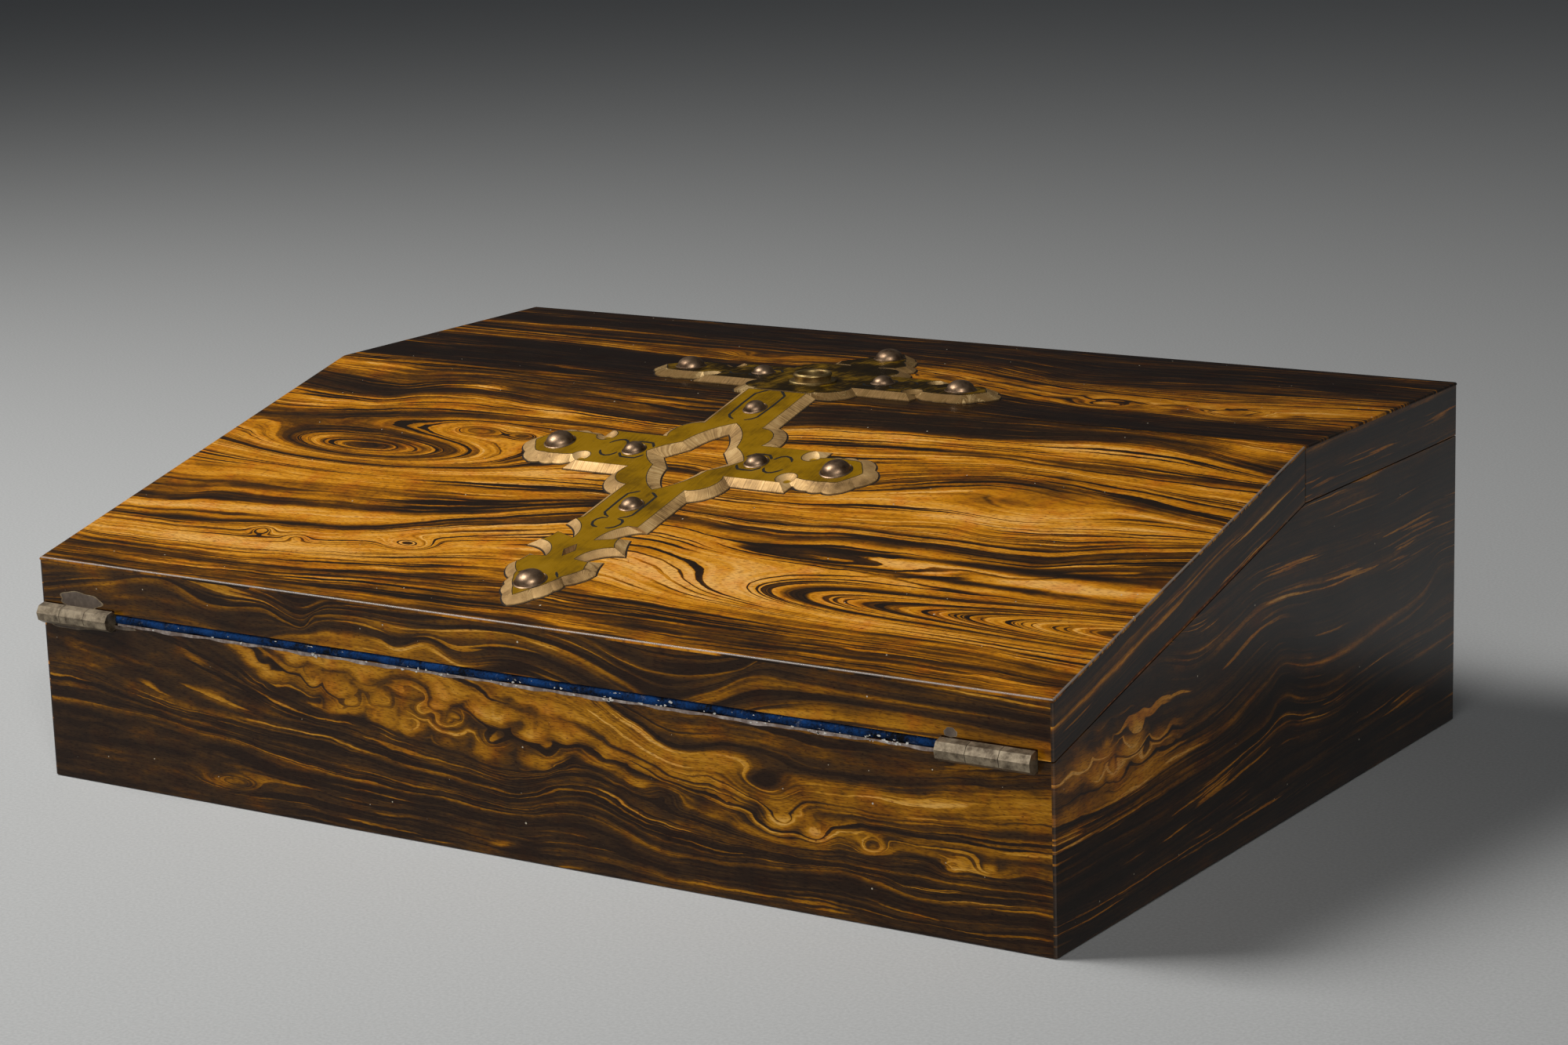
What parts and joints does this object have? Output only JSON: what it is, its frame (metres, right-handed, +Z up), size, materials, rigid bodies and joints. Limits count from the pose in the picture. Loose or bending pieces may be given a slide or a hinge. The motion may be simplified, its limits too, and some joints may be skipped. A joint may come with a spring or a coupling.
{
  "type": "writing slope",
  "caption": "Veneered writing slope with a sloping lid, a level lid over the pen tray and inkwells, brass cross mounts, hinges and a turning lock.",
  "frame": {"origin": "on the ground below the middle of the whole, hinge knuckles included", "axes": "+X to the writer's right, +Y away from the writer towards the level lid, +Z up"},
  "size_m": [0.4, 0.2956, 0.1271],
  "materials": {
    "coromandel": "french polished",
    "mahogany": "oiled",
    "aged_brass": "aged, burnished on the edges",
    "bright_brass": "worn bright",
    "velvet": "napped",
    "baize": "felted",
    "inkwell_glass": "clear",
    "blued_steel": "blued"
  },
  "bodies": {
    "case": {"base_cover": "baize", "bottom_board": "mahogany", "case_front_wall": "mahogany", "case_back_wall": "mahogany", "case_left_wall": "mahogany", "case_right_wall": "mahogany", "case_front_veneer": "coromandel", "case_back_veneer": "coromandel", "case_left_veneer": "coromandel", "case_right_veneer": "coromandel", "ridge_partition": "mahogany", "partition_keep": "bright_brass", "flap_bearers": "mahogany", "document_flap": "mahogany", "document_flap_velvet": "velvet", "fold_velvet": "velvet", "pen_tray": "mahogany", "rack_dividers": "mahogany", "inkwell_cell_walls": "mahogany", "inkwell_bottles": "inkwell_glass", "inkwell_collars": "bright_brass", "inkwell_cap_pins": "bright_brass", "case_hinge_leaves": "aged_brass", "hinge_pins": "aged_brass", "case_hinge_screws": "bright_brass"},
    "slope_lid": {"slope_lid_panel": "mahogany", "slope_lid_front_rail": "mahogany", "slope_lid_side_rails": "mahogany", "slope_lid_ridge_rail": "mahogany", "slope_lid_top_veneer": "coromandel", "slope_lid_front_veneer": "coromandel", "slope_lid_left_veneer": "coromandel", "slope_lid_right_veneer": "coromandel", "writing_board": "mahogany", "writing_board_velvet": "velvet", "slope_lid_keep": "bright_brass", "slope_mount": "aged_brass", "slope_mount_studs": "bright_brass", "front_hinge_lid_leaves": "aged_brass", "slope_lid_hinge_screws": "bright_brass"},
    "back_lid": {"back_lid_panel": "mahogany", "back_lid_front_rail": "mahogany", "back_lid_rear_rail": "mahogany", "back_lid_side_rails": "mahogany", "back_lid_top_veneer": "coromandel", "back_lid_left_veneer": "coromandel", "back_lid_right_veneer": "coromandel", "back_lid_rear_veneer": "coromandel", "back_lid_lining": "velvet", "back_mount": "aged_brass", "back_mount_studs": "bright_brass", "lock_nozzle": "bright_brass", "lock_case": "bright_brass", "rear_hinge_lid_leaves": "aged_brass", "back_lid_screws": "bright_brass"},
    "lock_barrel": {"lock_barrel": "blued_steel"},
    "lock_bolt": {"lock_bolt": "bright_brass"},
    "inkwell_cap_left": {"inkwell_cap_left": "bright_brass"},
    "inkwell_cap_right": {"inkwell_cap_right": "bright_brass"}
  },
  "joints": [
    {"name": "slope_lid_hinge", "type": "hinge", "parent": "case", "child": "slope_lid", "pos_m": [0, -0.1444, 0.05924], "axis": [1, 0, 0], "range_deg": [0, 178]},
    {"name": "back_lid_hinge", "type": "hinge", "parent": "case", "child": "back_lid", "pos_m": [0, 0.1444, 0.1025], "axis": [-1, 0, 0], "range_deg": [0, 105]},
    {"name": "lock_turn", "type": "hinge", "parent": "back_lid", "child": "lock_barrel", "pos_m": [0, 0.0415, 0.11], "axis": [0, 0, -1], "range_deg": [0, 95]},
    {"name": "lock_bolt_slide", "type": "slide", "parent": "back_lid", "child": "lock_bolt", "axis": [0, -1, 0], "range_m": [0, 0.007]},
    {"name": "inkwell_cap_left_hinge", "type": "hinge", "parent": "case", "child": "inkwell_cap_left", "pos_m": [-0.167, 0.06985, 0.04915], "axis": [-1, 0, 0], "range_deg": [0, 100]},
    {"name": "inkwell_cap_right_hinge", "type": "hinge", "parent": "case", "child": "inkwell_cap_right", "pos_m": [0.167, 0.06985, 0.04915], "axis": [-1, 0, 0], "range_deg": [0, 100]}
  ],
  "couplings": [
    {"joint": "lock_turn", "follows": "lock_bolt_slide", "rad_per_m": 224.39}
  ]
}
